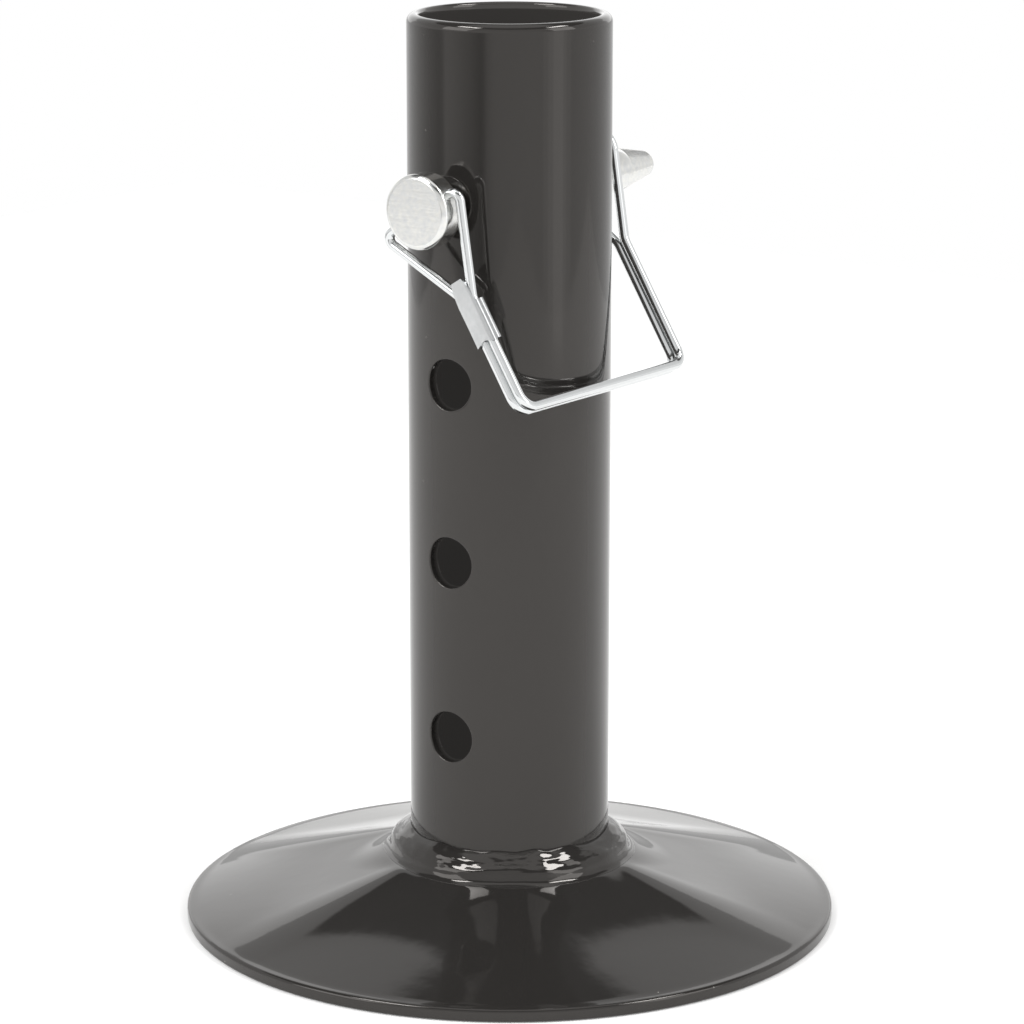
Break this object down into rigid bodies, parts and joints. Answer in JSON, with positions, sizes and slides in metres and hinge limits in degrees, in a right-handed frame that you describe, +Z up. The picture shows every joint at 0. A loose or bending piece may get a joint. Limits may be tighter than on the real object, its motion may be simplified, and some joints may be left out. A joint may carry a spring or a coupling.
{
  "type": "drop leg foot with lock pin",
  "caption": "Round drilled drop leg welded to a pressed round foot plate, with a turned lock pin held by a doubled spring wire bail and crimped ferrule",
  "frame": {"origin": "Centre of the plate's rim, on the floor, on the tube's axis", "axes": "+X runs along the lock pin from its head to its tip, +Z is up along the tube, +Y is the side away from the hanging bail"},
  "size_m": [0.1872, 0.1872, 0.2602],
  "materials": {
    "tube_coat": "gloss black powder coat on steel tube",
    "plate_coat": "gloss black powder coat on pressed steel",
    "weld_coat": "gloss black powder coat over weld beads",
    "pin_zinc": "bright zinc plate over turned steel",
    "wire_zinc": "bright zinc plate on drawn spring wire",
    "loop_zinc": "bright zinc plate on drawn spring wire",
    "ferrule_zinc": "bright zinc plate on crimped sheet steel"
  },
  "bodies": {
    "leg": {"leg_tube": "tube_coat", "foot_plate": "plate_coat", "foot_weld": "weld_coat"},
    "lock_pin": {"lock_pin": "pin_zinc"},
    "bail": {"bail_wire": "wire_zinc", "crimp_ferrule": "ferrule_zinc"},
    "bail_loop": {"bail_loop": "loop_zinc"}
  },
  "joints": [
    {"name": "pin_turn", "type": "hinge", "parent": "leg", "child": "lock_pin", "pos_m": [0, 0, 0.21005], "axis": [-1, 0, 0], "range_deg": [0, 295.5]},
    {"name": "bail_rock", "type": "hinge", "parent": "lock_pin", "child": "bail", "pos_m": [-0.03887, 0, 0.21005], "axis": [0, -0.8495, 0.5276], "range_deg": [-3, 0.8]},
    {"name": "loop_spring", "type": "hinge", "parent": "bail", "child": "bail_loop", "pos_m": [0.03966, -0.0288, 0.16367], "axis": [0, 0.8495, -0.5276], "range_deg": [0, 29], "stiffness_Nm_per_rad": 3}
  ]
}
